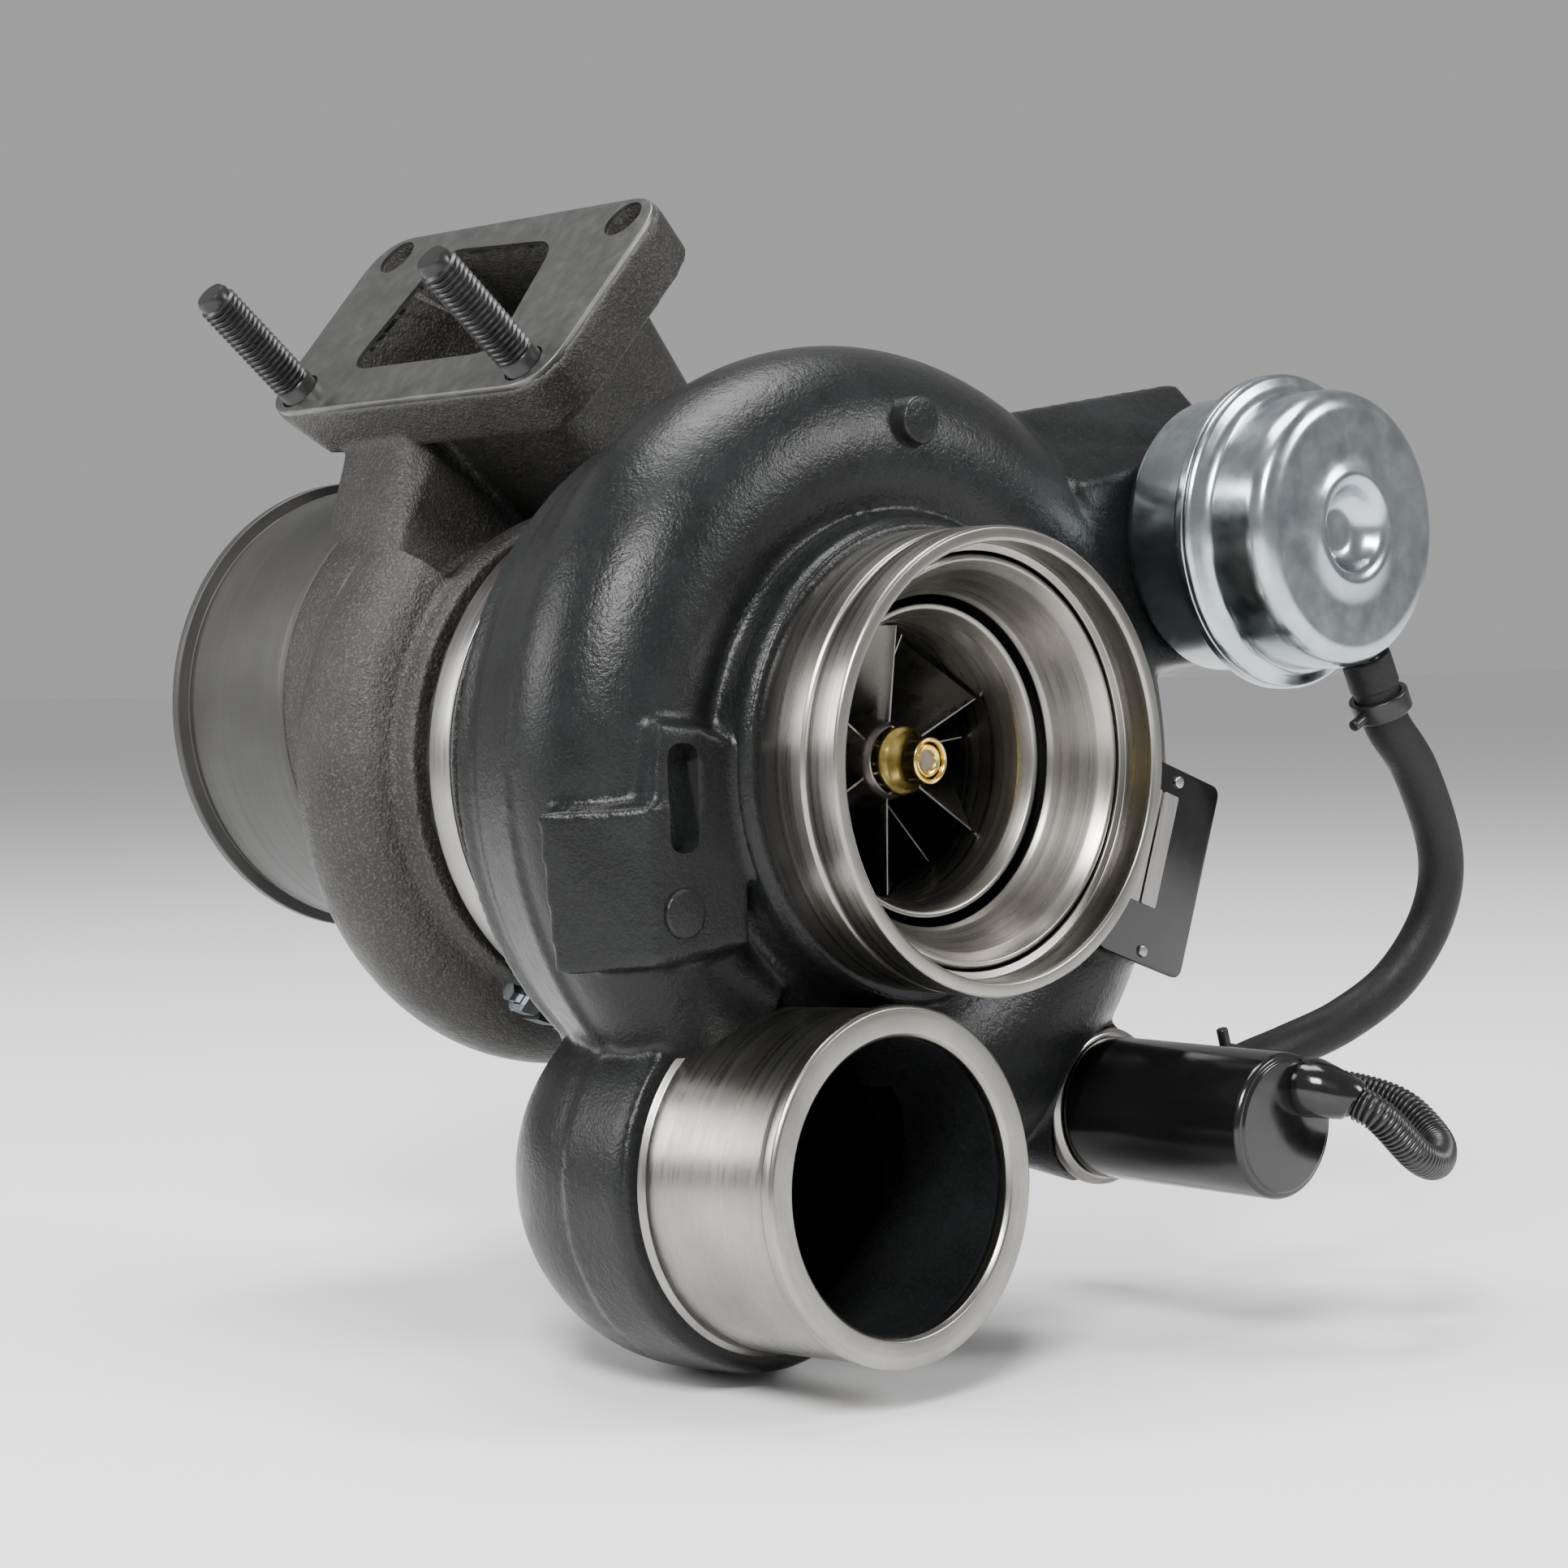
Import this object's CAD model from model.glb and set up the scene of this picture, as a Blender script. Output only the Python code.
"""Looks for the turbocharger: fine pieces, materials, floor, lights and camera.

Shapes are written in millimetres in the "shaft frame": Y along the rotor shaft from the compressor
inlet lip, X to the right seen from the inlet, Z up. piece() turns them into metres in the row's
frame, whose origin is the centre of the turbine inlet flange.
"""
import math

import bmesh
import bpy
from mathutils import Matrix, Vector


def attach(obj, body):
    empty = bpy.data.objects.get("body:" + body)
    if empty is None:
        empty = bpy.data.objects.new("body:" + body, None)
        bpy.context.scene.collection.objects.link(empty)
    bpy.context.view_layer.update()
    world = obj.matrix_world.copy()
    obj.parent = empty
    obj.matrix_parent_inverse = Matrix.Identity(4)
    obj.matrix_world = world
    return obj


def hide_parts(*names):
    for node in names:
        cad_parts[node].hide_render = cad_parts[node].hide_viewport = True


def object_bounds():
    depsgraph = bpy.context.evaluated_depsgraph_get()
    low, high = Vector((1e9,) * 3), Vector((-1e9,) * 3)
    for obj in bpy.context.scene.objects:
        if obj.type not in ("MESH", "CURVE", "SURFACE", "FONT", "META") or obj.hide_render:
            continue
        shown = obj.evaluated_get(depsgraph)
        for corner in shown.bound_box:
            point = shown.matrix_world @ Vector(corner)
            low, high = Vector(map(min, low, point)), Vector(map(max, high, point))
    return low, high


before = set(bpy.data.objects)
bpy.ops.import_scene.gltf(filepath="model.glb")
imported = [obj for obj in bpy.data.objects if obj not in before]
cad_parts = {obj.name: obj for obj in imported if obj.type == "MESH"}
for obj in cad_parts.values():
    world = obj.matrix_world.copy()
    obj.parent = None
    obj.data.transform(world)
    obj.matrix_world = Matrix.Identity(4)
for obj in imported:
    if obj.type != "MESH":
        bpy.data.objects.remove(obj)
cad_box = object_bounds()

MM = 0.001
FLANGE_CENTRE = Vector((-23.4, 160.4, 110.1))
FLANGE_TILT = math.radians(49.0)
FLANGE_NORMAL = Vector((-math.sin(FLANGE_TILT), 0, math.cos(FLANGE_TILT)))
FLANGE_ACROSS = Vector((-math.cos(FLANGE_TILT), 0, -math.sin(FLANGE_TILT)))
ALONG_Y = Vector((0, 1, 0))
SIDES = 96                  # sides of a large round piece
SMALL = 40                  # sides of a small round piece


# ---- meshes and objects

def mesh_from(bm, name):
    mesh = bpy.data.meshes.new(name)
    bm.to_mesh(mesh)
    bm.free()
    return mesh


def shown(name, data):
    obj = bpy.data.objects.new(name, data)
    bpy.context.scene.collection.objects.link(obj)
    return obj


# ---- camera, light and floor

SENSOR_WIDTH = 36.0
LENS = 76.97
CAMERA_PLACE = Vector((-521.0, -497.9, 22.9))
LIGHT_TARGET = Vector((0.02, -0.05, -0.11))
LIGHTS = (                  # name, place, side and power of each soft box, in metres and watts
    ("key", (-1.0, -0.9, 0.9), 0.50, 44),
    ("side", (0.9, -1.3, 0.7), 0.45, 17),
    ("top", (0.1, 0.1, 1.5), 0.9, 36),
    ("back", (-1.2, 0.9, 0.5), 0.7, 16),
)
WORLD_STRENGTH = 0.40
FLOOR_RADIUS = 20
FLOOR_DROP = 0.0005         # the floor is this far below the object


def put_camera():
    """The camera, from its own right, up and forward axes."""
    right = Vector((0.7369, -0.6757, -0.0188))
    up = Vector((0.0390, 0.0147, 0.9991))
    forward = Vector((0.6749, 0.7370, -0.0372))
    data = bpy.data.cameras.new("camera")
    data.sensor_width = SENSOR_WIDTH
    data.lens = LENS
    camera = shown("camera", data)
    turn = Matrix((right, up, -forward)).transposed().to_4x4()
    place = (CAMERA_PLACE - FLANGE_CENTRE) * MM
    camera.matrix_world = Matrix.Translation(place) @ turn
    bpy.context.scene.camera = camera


def put_light(name, place, size, power):
    """A square soft box that looks at the middle of the object."""
    data = bpy.data.lights.new(name, "AREA")
    data.shape = "SQUARE"
    data.size = size
    data.energy = power
    light = shown(name, data)
    light.location = place
    light.rotation_euler = (LIGHT_TARGET - Vector(place)).to_track_quat("-Z", "Y").to_euler()


def put_studio():
    """White surroundings, four soft boxes and a plain pale floor."""
    world = bpy.data.worlds.new("studio")
    bpy.context.scene.world = world
    world.use_nodes = True
    background = world.node_tree.nodes["Background"]
    background.inputs["Color"].default_value = (1.0, 1.0, 1.0, 1.0)
    background.inputs["Strength"].default_value = WORLD_STRENGTH
    for light in LIGHTS:
        put_light(*light)
    bm = bmesh.new()
    bmesh.ops.create_circle(bm, cap_ends=True, segments=SIDES, radius=FLOOR_RADIUS)
    floor = shown("floor", mesh_from(bm, "floor"))
    floor.location = (0, 0, cad_box[0][2] - FLOOR_DROP)
    mat, shader = blank_material("floor")
    fill(mat, shader, {"Base Color": (0.92, 0.92, 0.92, 1), "Roughness": 0.6})
    floor.data.materials.append(mat)


# ---- materials

def blank_material(name):
    mat = bpy.data.materials.new(name)
    mat.use_nodes = True
    return mat, mat.node_tree.nodes["Principled BSDF"]


def fill(mat, node, values):
    """Fill a node's inputs by name: a socket is linked, a plain value is set."""
    for name, value in values.items():
        if isinstance(value, bpy.types.NodeSocket):
            mat.node_tree.links.new(value, node.inputs[name])
        else:
            node.inputs[name].default_value = value


def new_node(mat, kind, values):
    node = mat.node_tree.nodes.new(kind)
    fill(mat, node, values)
    return node


def noise(mat, coords, scale, detail=5.0, roughness=0.55):
    values = {"Scale": scale, "Detail": detail, "Roughness": roughness, "Vector": coords}
    return new_node(mat, "ShaderNodeTexNoise", values).outputs["Fac"]


def ramp(mat, value, stops):
    node = new_node(mat, "ShaderNodeValToRGB", {"Fac": value})
    for stop, (position, color) in zip(node.color_ramp.elements, stops):
        stop.position = position
        stop.color = (*color, 1)
    return node.outputs["Color"]


def spread(mat, value, low, high, start=0.3, end=0.7):
    """Map a texture's middle range to a pair of values."""
    values = {"From Min": start, "From Max": end, "To Min": low, "To Max": high, "Value": value}
    return new_node(mat, "ShaderNodeMapRange", values).outputs["Result"]


def mixed(mat, factor, a, b):
    """Mix two colours, each a colour socket or a plain (r, g, b)."""
    node = new_node(mat, "ShaderNodeMix", {})
    node.data_type = "RGBA"
    mat.node_tree.links.new(factor, node.inputs["Factor"])
    colour_inputs = [socket for socket in node.inputs if socket.type == "RGBA"]
    for socket, value in zip(colour_inputs, (a, b)):
        if isinstance(value, tuple):
            socket.default_value = (*value, 1)
        else:
            mat.node_tree.links.new(value, socket)
    return [socket for socket in node.outputs if socket.type == "RGBA"][0]


def bumped(mat, height, strength, distance, below=None):
    values = {"Strength": strength, "Distance": distance, "Height": height}
    if below:
        values["Normal"] = below
    return new_node(mat, "ShaderNodeBump", values).outputs["Normal"]


def object_coords(mat):
    return mat.node_tree.nodes.new("ShaderNodeTexCoord").outputs["Object"]


def vector_math(mat, operation, first, second=None):
    node = mat.node_tree.nodes.new("ShaderNodeVectorMath")
    node.operation = operation
    mat.node_tree.links.new(first, node.inputs[0])
    if second:
        node.inputs[1].default_value = second
    return node.outputs


def turned_coords(mat):
    """Coordinates that stay the same all round the piece's own Y axis, as a lathe leaves it."""
    flat = vector_math(mat, "MULTIPLY", object_coords(mat), (1, 0, 1))[0]
    radius = vector_math(mat, "LENGTH", flat)["Value"]
    parts = new_node(mat, "ShaderNodeSeparateXYZ", {"Vector": object_coords(mat)})
    values = {"X": radius, "Y": parts.outputs["Y"]}
    return new_node(mat, "ShaderNodeCombineXYZ", values).outputs[0]


def edge_wear(mat, low=0.52, high=0.60):
    pointy = mat.node_tree.nodes.new("ShaderNodeNewGeometry").outputs["Pointiness"]
    return spread(mat, pointy, 0.0, 1.0, low, high)


def cast_material(name, dark, light, wear, rough, metallic, grain, bump, gloss=0.5):
    """Cast or painted surface: cloudy colour, a fine grain in the surface and paler worn edges."""
    mat, shader = blank_material(name)
    coords = object_coords(mat)
    fine = noise(mat, coords, grain, 3.0, 0.6)
    cloudy = noise(mat, coords, grain * 0.03, 4.0)
    colour = ramp(mat, cloudy, [(0.3, dark), (0.7, light)])
    speck = mixed(mat, spread(mat, fine, 0.0, 0.55, 0.5, 0.75), colour, wear)
    broad = bumped(mat, noise(mat, coords, grain * 0.35, 2.0), bump * 0.6, 0.0006)
    fill(mat, shader, {
        "Base Color": mixed(mat, edge_wear(mat), speck, wear),
        "Roughness": spread(mat, noise(mat, coords, grain * 0.12), *rough),
        "Metallic": metallic,
        "Specular IOR Level": gloss,
        "Normal": bumped(mat, fine, bump, 0.00035, broad),
    })
    return mat


def machined_material(name, dark, light, rough, grooves=2600.0, bump=0.12, metallic=1.0):
    """Turned metal: fine rings from the lathe, soft stains and a little scratching."""
    mat, shader = blank_material(name)
    round_coords = turned_coords(mat)
    rings = noise(mat, round_coords, grooves, 2.0)
    stain = noise(mat, object_coords(mat), 38.0)
    colour = ramp(mat, stain, [(0.32, dark), (0.66, light)])
    fill(mat, shader, {
        "Base Color": mixed(mat, spread(mat, rings, 0.0, 0.35), colour, dark),
        "Roughness": spread(mat, noise(mat, round_coords, grooves * 0.3, 3.0), *rough),
        "Metallic": metallic,
        "Normal": bumped(mat, rings, bump, 0.00006),
    })
    return mat


def plated_material(name, dark, light, rough, metallic=1.0, scale=60.0):
    """Bright plated or blackened metal: mottled colour, fine handling marks."""
    mat, shader = blank_material(name)
    coords = object_coords(mat)
    mottle = noise(mat, coords, scale, 6.0, 0.6)
    fine = noise(mat, coords, scale * 22, 3.0)
    colour = ramp(mat, mottle, [(0.3, dark), (0.7, light)])
    fill(mat, shader, {
        "Base Color": mixed(mat, edge_wear(mat, 0.53, 0.62), colour, light),
        "Roughness": spread(mat, noise(mat, coords, scale * 3), *rough),
        "Metallic": metallic,
        "Normal": bumped(mat, fine, 0.08, 0.00008),
    })
    return mat


LOOKS = {
    cast_material: {     # dark, light and worn colour, roughness, metallic, grain, bump, gloss
        "black_paint": ((0.005, 0.0053, 0.0056), (0.010, 0.0105, 0.011), (0.018, 0.018, 0.018),
                        (0.24, 0.34), 0.0, 1400, 0.40, 0.22),
        "cast_iron": ((0.018, 0.017, 0.0155), (0.034, 0.032, 0.030), (0.13, 0.126, 0.118),
                      (0.34, 0.50), 0.45, 1500, 1.0),
        "rubber": ((0.006, 0.006, 0.006), (0.011, 0.0105, 0.010), (0.018, 0.018, 0.018),
                   (0.45, 0.60), 0.0, 1400, 0.3, 0.2),
    },
    machined_material: {     # dark and light colour, roughness, grooves, bump, metallic
        "smooth_iron": ((0.030, 0.029, 0.028), (0.046, 0.045, 0.043), (0.42, 0.54),
                        1500.0, 0.08, 0.4),
        "machined_aluminium": ((0.21, 0.203, 0.188), (0.35, 0.338, 0.315), (0.23, 0.35)),
        "machined_steel": ((0.24, 0.235, 0.23), (0.38, 0.37, 0.36), (0.25, 0.38)),
        "bronze": ((0.42, 0.27, 0.12), (0.60, 0.42, 0.21), (0.25, 0.4)),
    },
    plated_material: {     # dark and light colour, roughness, metallic, scale of the mottling
        "flange_face": ((0.10, 0.10, 0.098), (0.15, 0.148, 0.144), (0.32, 0.46), 0.9, 90.0),
        "zinc_plate": ((0.30, 0.33, 0.35), (0.48, 0.52, 0.54), (0.16, 0.28)),
        "yellow_zinc": ((0.52, 0.36, 0.08), (0.80, 0.66, 0.26), (0.12, 0.26), 1.0, 240.0),
        "black_oxide": ((0.007, 0.007, 0.007), (0.020, 0.0195, 0.019), (0.26, 0.40), 0.35, 160.0),
        "milled_alloy": ((0.19, 0.185, 0.18), (0.30, 0.29, 0.28), (0.24, 0.36), 1.0, 80.0),
        "heat_alloy": ((0.12, 0.10, 0.085), (0.26, 0.22, 0.18), (0.35, 0.55), 0.95, 110.0),
        "black_plastic": ((0.0035, 0.0035, 0.0035), (0.006, 0.006, 0.006), (0.10, 0.20), 0.0, 90.0),
        "loom_plastic": ((0.006, 0.006, 0.006), (0.012, 0.012, 0.012), (0.25, 0.38), 0.0, 120.0),
        "spring_steel": ((0.26, 0.27, 0.28), (0.40, 0.41, 0.42), (0.25, 0.38), 1.0, 120.0),
    },
}
MATERIALS = {name: make(name, *look)
             for make, looks in LOOKS.items() for name, look in looks.items()}


# ---- shapes

def turned(profile, steps=SIDES, centre=(0, 0)):
    """Turn a closed outline of (radius, y) points about an axis along Y."""
    bm = bmesh.new()
    axis_point = Vector((centre[0], 0, centre[1]))
    verts = [bm.verts.new(axis_point + Vector((radius, y, 0))) for radius, y in profile]
    pairs = [(i, (i + 1) % len(verts)) for i in range(len(verts))]
    edges = [bm.edges.new((verts[i], verts[j])) for i, j in pairs if profile[i][0] or profile[j][0]]
    bmesh.ops.spin(bm, geom=verts + edges, cent=axis_point, axis=(0, 1, 0), steps=steps,
                   angle=math.tau, use_merge=True)
    bmesh.ops.remove_doubles(bm, verts=bm.verts, dist=0.0005)
    return bm


def softened(profile, reach=0.6, steps=3):
    """Round the corners of a (radius, y) outline; corners on the axis stay as they are."""
    points = []
    for i, corner in enumerate(profile):
        here = Vector(corner)
        last, following = Vector(profile[i - 1]), Vector(profile[(i + 1) % len(profile)])
        room = min((last - here).length, (following - here).length) * 0.45
        if here.x == 0 or room < 0.05:
            points.append(corner)
            continue
        r = min(reach, room)
        a = here + (last - here).normalized() * r
        b = here + (following - here).normalized() * r
        for k in range(steps + 1):
            t = k / steps
            p = a * (1 - t) ** 2 + here * 2 * t * (1 - t) + b * t ** 2
            points.append((p.x, p.y))
    return points


def disc(radius, y0, y1, steps=SMALL, centre=(0, 0), reach=0.5):
    return turned(softened([(0, y0), (radius, y0), (radius, y1), (0, y1)], reach), steps, centre)


def ring(inner, outer, y0, y1, steps=SIDES, centre=(0, 0), reach=0.4):
    profile = [(inner, y0), (outer, y0), (outer, y1), (inner, y1)]
    return turned(softened(profile, reach), steps, centre)


def aimed(bm, start, direction):
    """Move a shape made along Y so that it starts at a point and runs in a direction."""
    turn = ALONG_Y.rotation_difference(Vector(direction).normalized()).to_matrix().to_4x4()
    bmesh.ops.transform(bm, verts=bm.verts, matrix=Matrix.Translation(start) @ turn)
    return bm


def rod(start, end, radius, steps=SMALL, end_radius=None, reach=0.0):
    start, end = Vector(start), Vector(end)
    length = (end - start).length
    last = radius if end_radius is None else end_radius
    profile = [(0, 0), (radius, 0), (last, length), (0, length)]
    profile = softened(profile, reach) if reach else profile
    return aimed(turned(profile, steps), start, end - start)


def cross_rod(x0, x1, y, z, radius, **more):
    """A rod along X."""
    return rod((x0, y, z), (x1, y, z), radius, **more)


def pipe(start, end, outer, inner, steps=SMALL, reach=0.3):
    start, end = Vector(start), Vector(end)
    shape = ring(inner, outer, 0, (end - start).length, steps, reach=reach)
    return aimed(shape, start, end - start)


def hex_nut(start, across, height, bore):
    """A six-sided nut with chamfered corners, made along Y."""
    corner = across / math.sqrt(3)
    outside = turned([(0, 0), (corner - 0.7, 0), (corner + 0.4, 0.8),
                      (corner + 0.4, height - 0.8), (corner - 0.7, height), (0, height)], SMALL)
    inside = turned([(0, -1), (bore, -1), (bore, height + 1), (0, height + 1)], SMALL)
    six = turned([(0, -1), (corner, -1), (corner, height + 1), (0, height + 1)], 6)
    shape = solid_from(outside, [("INTERSECT", six), ("DIFFERENCE", inside)])
    return aimed(shape, start, ALONG_Y)


def hull(points):
    bm = bmesh.new()
    for point in points:
        bm.verts.new(point)
    bmesh.ops.convex_hull(bm, input=bm.verts)
    loose = [v for v in bm.verts if not v.link_faces]
    bmesh.ops.delete(bm, geom=loose, context="VERTS")
    return bm


def skin(rings):
    """Join rings of points, all of the same count, into one closed solid."""
    bm = bmesh.new()
    rows = [[bm.verts.new(point) for point in points] for points in rings]
    count = len(rows[0])
    for row, following in zip(rows, rows[1:]):
        for i in range(count):
            j = (i + 1) % count
            bm.faces.new((row[i], row[j], following[j], following[i]))
    bm.faces.new(rows[0])
    bm.faces.new(rows[-1])
    return bm


def ring_points(centre, radius, side, up, steps):
    return [centre + radius * (math.cos(a) * side + math.sin(a) * up)
            for a in (math.tau * i / steps for i in range(steps))]


def circle_points(centre, along, radius, steps, guide):
    along = along.normalized()
    side = along.cross(guide).normalized()
    return ring_points(centre, radius, side, side.cross(along), steps)


def swept(path, radii, steps, guide):
    """A round duct whose radius changes along a path."""
    rings = []
    for i, point in enumerate(path):
        before = path[max(i - 1, 0)]
        after = path[min(i + 1, len(path) - 1)]
        rings.append(circle_points(point, after - before, radii[i], steps, guide))
    return skin(rings)


def tube(path, radii, steps):
    """A round cord along a path in space, whose rings are carried along without twisting."""
    rings = []
    side = None
    for i, point in enumerate(path):
        along = (path[min(i + 1, len(path) - 1)] - path[max(i - 1, 0)]).normalized()
        if side is None:
            side = along.orthogonal().normalized()
        side = (side - along * side.dot(along)).normalized()
        rings.append(ring_points(point, radii[i], side, along.cross(side), steps))
    return skin(rings)


def ball(centre, radius, steps=64):
    bm = bmesh.new()
    bmesh.ops.create_uvsphere(bm, u_segments=steps, v_segments=steps // 2, radius=radius,
                              matrix=Matrix.Translation(centre))
    return bm


def prism(outline, depth, reach=0.0):
    """Push a flat outline of 3-D points along a vector, with softened rims."""
    bm = bmesh.new()
    face = bm.faces.new([bm.verts.new(point) for point in outline])
    extruded = bmesh.ops.extrude_face_region(bm, geom=[face])["geom"]
    moved = [part for part in extruded if isinstance(part, bmesh.types.BMVert)]
    bmesh.ops.translate(bm, verts=moved, vec=depth)
    if reach:
        rims = [e for e in bm.edges if any(len(f.verts) > 4 for f in e.link_faces)]
        bmesh.ops.bevel(bm, geom=rims, offset=reach, segments=3, profile=0.5, affect="EDGES")
    return bm


def rounded_outline(corners, radius, steps=8):
    points = []
    for i, corner in enumerate(corners):
        corner = Vector(corner)
        a = corner + (Vector(corners[i - 1]) - corner).normalized() * radius
        b = corner + (Vector(corners[(i + 1) % len(corners)]) - corner).normalized() * radius
        for k in range(steps + 1):
            t = k / steps
            points.append(a * (1 - t) ** 2 + corner * 2 * t * (1 - t) + b * t ** 2)
    return points


def smooth_route(points, count):
    """Evenly spread points on a Catmull-Rom curve through the route's own points."""
    points = [Vector(p) for p in points]
    ends = [points[0] * 2 - points[1]] + points + [points[-1] * 2 - points[-2]]
    route = []
    for i in range(count):
        place = i / (count - 1) * (len(points) - 1)
        k = min(int(place), len(points) - 2)
        t = place - k
        a, b, c, d = ends[k:k + 4]
        route.append(0.5 * (2 * b + (c - a) * t + (2 * a - 5 * b + 4 * c - d) * t ** 2
                            + (3 * b - a - 3 * c + d) * t ** 3))
    return route


def merged(shapes):
    """Several closed shapes in one bmesh, still overlapping."""
    bm = bmesh.new()
    for shape in shapes:
        mesh = mesh_from(shape, "part")
        bm.from_mesh(mesh)
        bpy.data.meshes.remove(mesh)
    return bm


def loose_object(bm, name="tool"):
    bmesh.ops.recalc_face_normals(bm, faces=bm.faces)
    return shown(name, mesh_from(bm, name))


def settle(obj):
    """Apply the modifiers of an object and return its shape; the object is removed."""
    graph = bpy.context.evaluated_depsgraph_get()
    mesh = bpy.data.meshes.new_from_object(obj.evaluated_get(graph))
    bm = bmesh.new()
    bm.from_mesh(mesh)
    bpy.data.meshes.remove(mesh)
    bpy.data.objects.remove(obj)
    return bm


def solid_from(bm, steps, solver="MANIFOLD"):
    """Join, cut or intersect a shape with others, in order."""
    obj = loose_object(bm)
    tools = []
    for operation, shape in steps:
        tool = loose_object(shape)
        modifier = obj.modifiers.new(operation, "BOOLEAN")
        modifier.operation = operation
        modifier.solver = solver
        modifier.object = tool
        tools.append(tool)
    result = settle(obj)
    for tool in tools:
        bpy.data.objects.remove(tool)
    return result


def cast_shape(shapes, voxel=1.0, rounds=10):
    """Melt closed shapes into one casting, with fillets where they meet."""
    obj = loose_object(merged(shapes))
    remesh = obj.modifiers.new("melt", "REMESH")
    remesh.mode = "VOXEL"
    remesh.voxel_size = voxel
    smooth = obj.modifiers.new("fillets", "SMOOTH")
    smooth.factor = 0.5
    smooth.iterations = rounds
    return settle(obj)


def piece(name, bm, material, *stands_for, body="housing", origin=(0, 0, 0), slot=None, angle=38):
    """A finished piece: in metres, in the row's frame, riding on a body, with its material.

    It stands for the CAD nodes that are named.
    """
    origin = Vector(origin)
    bmesh.ops.translate(bm, verts=bm.verts, vec=-origin)
    bmesh.ops.scale(bm, verts=bm.verts, vec=(MM, MM, MM))
    bmesh.ops.recalc_face_normals(bm, faces=bm.faces)
    mesh = mesh_from(bm, name)
    mesh.shade_smooth()
    mesh.set_sharp_from_angle(angle=math.radians(angle))
    obj = shown(name, mesh)
    obj.location = (origin - FLANGE_CENTRE) * MM
    mesh.materials.append(MATERIALS[material])
    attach(obj, body)
    if stands_for:
        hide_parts(*stands_for)
    return obj


def lathe_piece(name, profile, reach, material, *stands_for, steps=SIDES, centre=(0, 0), **more):
    """A piece turned from an outline whose corners are rounded."""
    shape = turned(softened(profile, reach), steps, centre)
    return piece(name, shape, material, *stands_for, **more)


# ---- compressor cover

INLET_RADIUS = 50.8
INLET_BORE = 47.3
OUTLET_START = Vector((-32.6, 0, -87.8))
OUTLET_DIRECTION = Vector((0, 1, -0.0565)).normalized()
OUTLET_RADIUS = 38.1
OUTLET_BORE = 31.3
ELBOW = Vector((-29.5, 65.0, -91.0))
VOLUTE_START = 235.0        # degrees, anticlockwise from +X
VOLUTE_END = -95.0
VOLUTE_FIRST_OUTER = 87.5
VOLUTE_OUTER_GAIN = 22.0
VOLUTE_FIRST_TUBE = 20.5
VOLUTE_TUBE_GAIN = 13.5
VOLUTE_Y = 54.0
VOLUTE_LEAN = 3.5
VOLUTE_WALL = 6.5
ACTUATOR = Vector((102.2, 0.0, 50.7))
CAN_FRONT_Y = -15.5
CAN_REAR_Y = 29.0
CAN_RADIUS = 32.4
CAN_STUDS = tuple((name, ACTUATOR.x - 2, ACTUATOR.z + rise)
                  for name, rise in (("upper", 15), ("lower", -15)))
SOLENOID = Vector((64.2, 0.0, -83.5))
SOLENOID_REAR_Y = 33.0
SOLENOID_FRONT_Y = -23.0
SOLENOID_SEAT = SOLENOID + Vector((0, SOLENOID_REAR_Y + 0.3, 0))


def scroll_station(angle, outer, radius, y):
    """Centre and radius of a round section that reaches out to the outer radius."""
    a = math.radians(angle)
    return Vector((math.cos(a), 0, math.sin(a))) * (outer - radius) + Vector((0, y, 0)), radius


def volute_station(angle):
    part = (VOLUTE_START - angle) / (VOLUTE_START - VOLUTE_END)
    outer = VOLUTE_FIRST_OUTER + VOLUTE_OUTER_GAIN * part ** 1.6
    radius = VOLUTE_FIRST_TUBE + VOLUTE_TUBE_GAIN * part ** 1.1
    return scroll_station(angle, outer, radius, VOLUTE_Y + VOLUTE_LEAN * part ** 1.5)


def duct(station, shrink, start, end, count, steps):
    """A scroll: round stations between two angles, each smaller than stated by shrink."""
    stations = [station(start + (end - start) * i / (count - 1)) for i in range(count)]
    return swept([c for c, r in stations], [r - shrink for c, r in stations], steps, ALONG_Y)


def cover_solids():
    """Closed shapes that melt into the outside of the cover."""
    cone = [(30, 24), (52.5, 24), (53.8, 28), (55.6, 34), (66, 42), (84, 56), (88.5, 61), (84, 77),
            (80.6, 83), (80.6, 89.6), (30, 89.6)]
    duct_end, duct_radius = volute_station(VOLUTE_END + 4)
    collar = turned([(0, 4), (34.0, 4), (34.0, 41.5), (41.8, 41.5), (42.6, 45), (42.8, 62),
                     (0, 62)])
    return [turned(cone), duct(volute_station, 0, VOLUTE_START, VOLUTE_END, 90, 48),
            ball(ELBOW, 44.0), rod(duct_end, ELBOW, duct_radius, SIDES, 42.5),
            aimed(collar, OUTLET_START, OUTLET_DIRECTION),
            rod(SOLENOID_SEAT, (52, 64, -76), 18.9, SIDES), *arm_shapes(), *pad_shapes(),
            plate_boss()]


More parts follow.
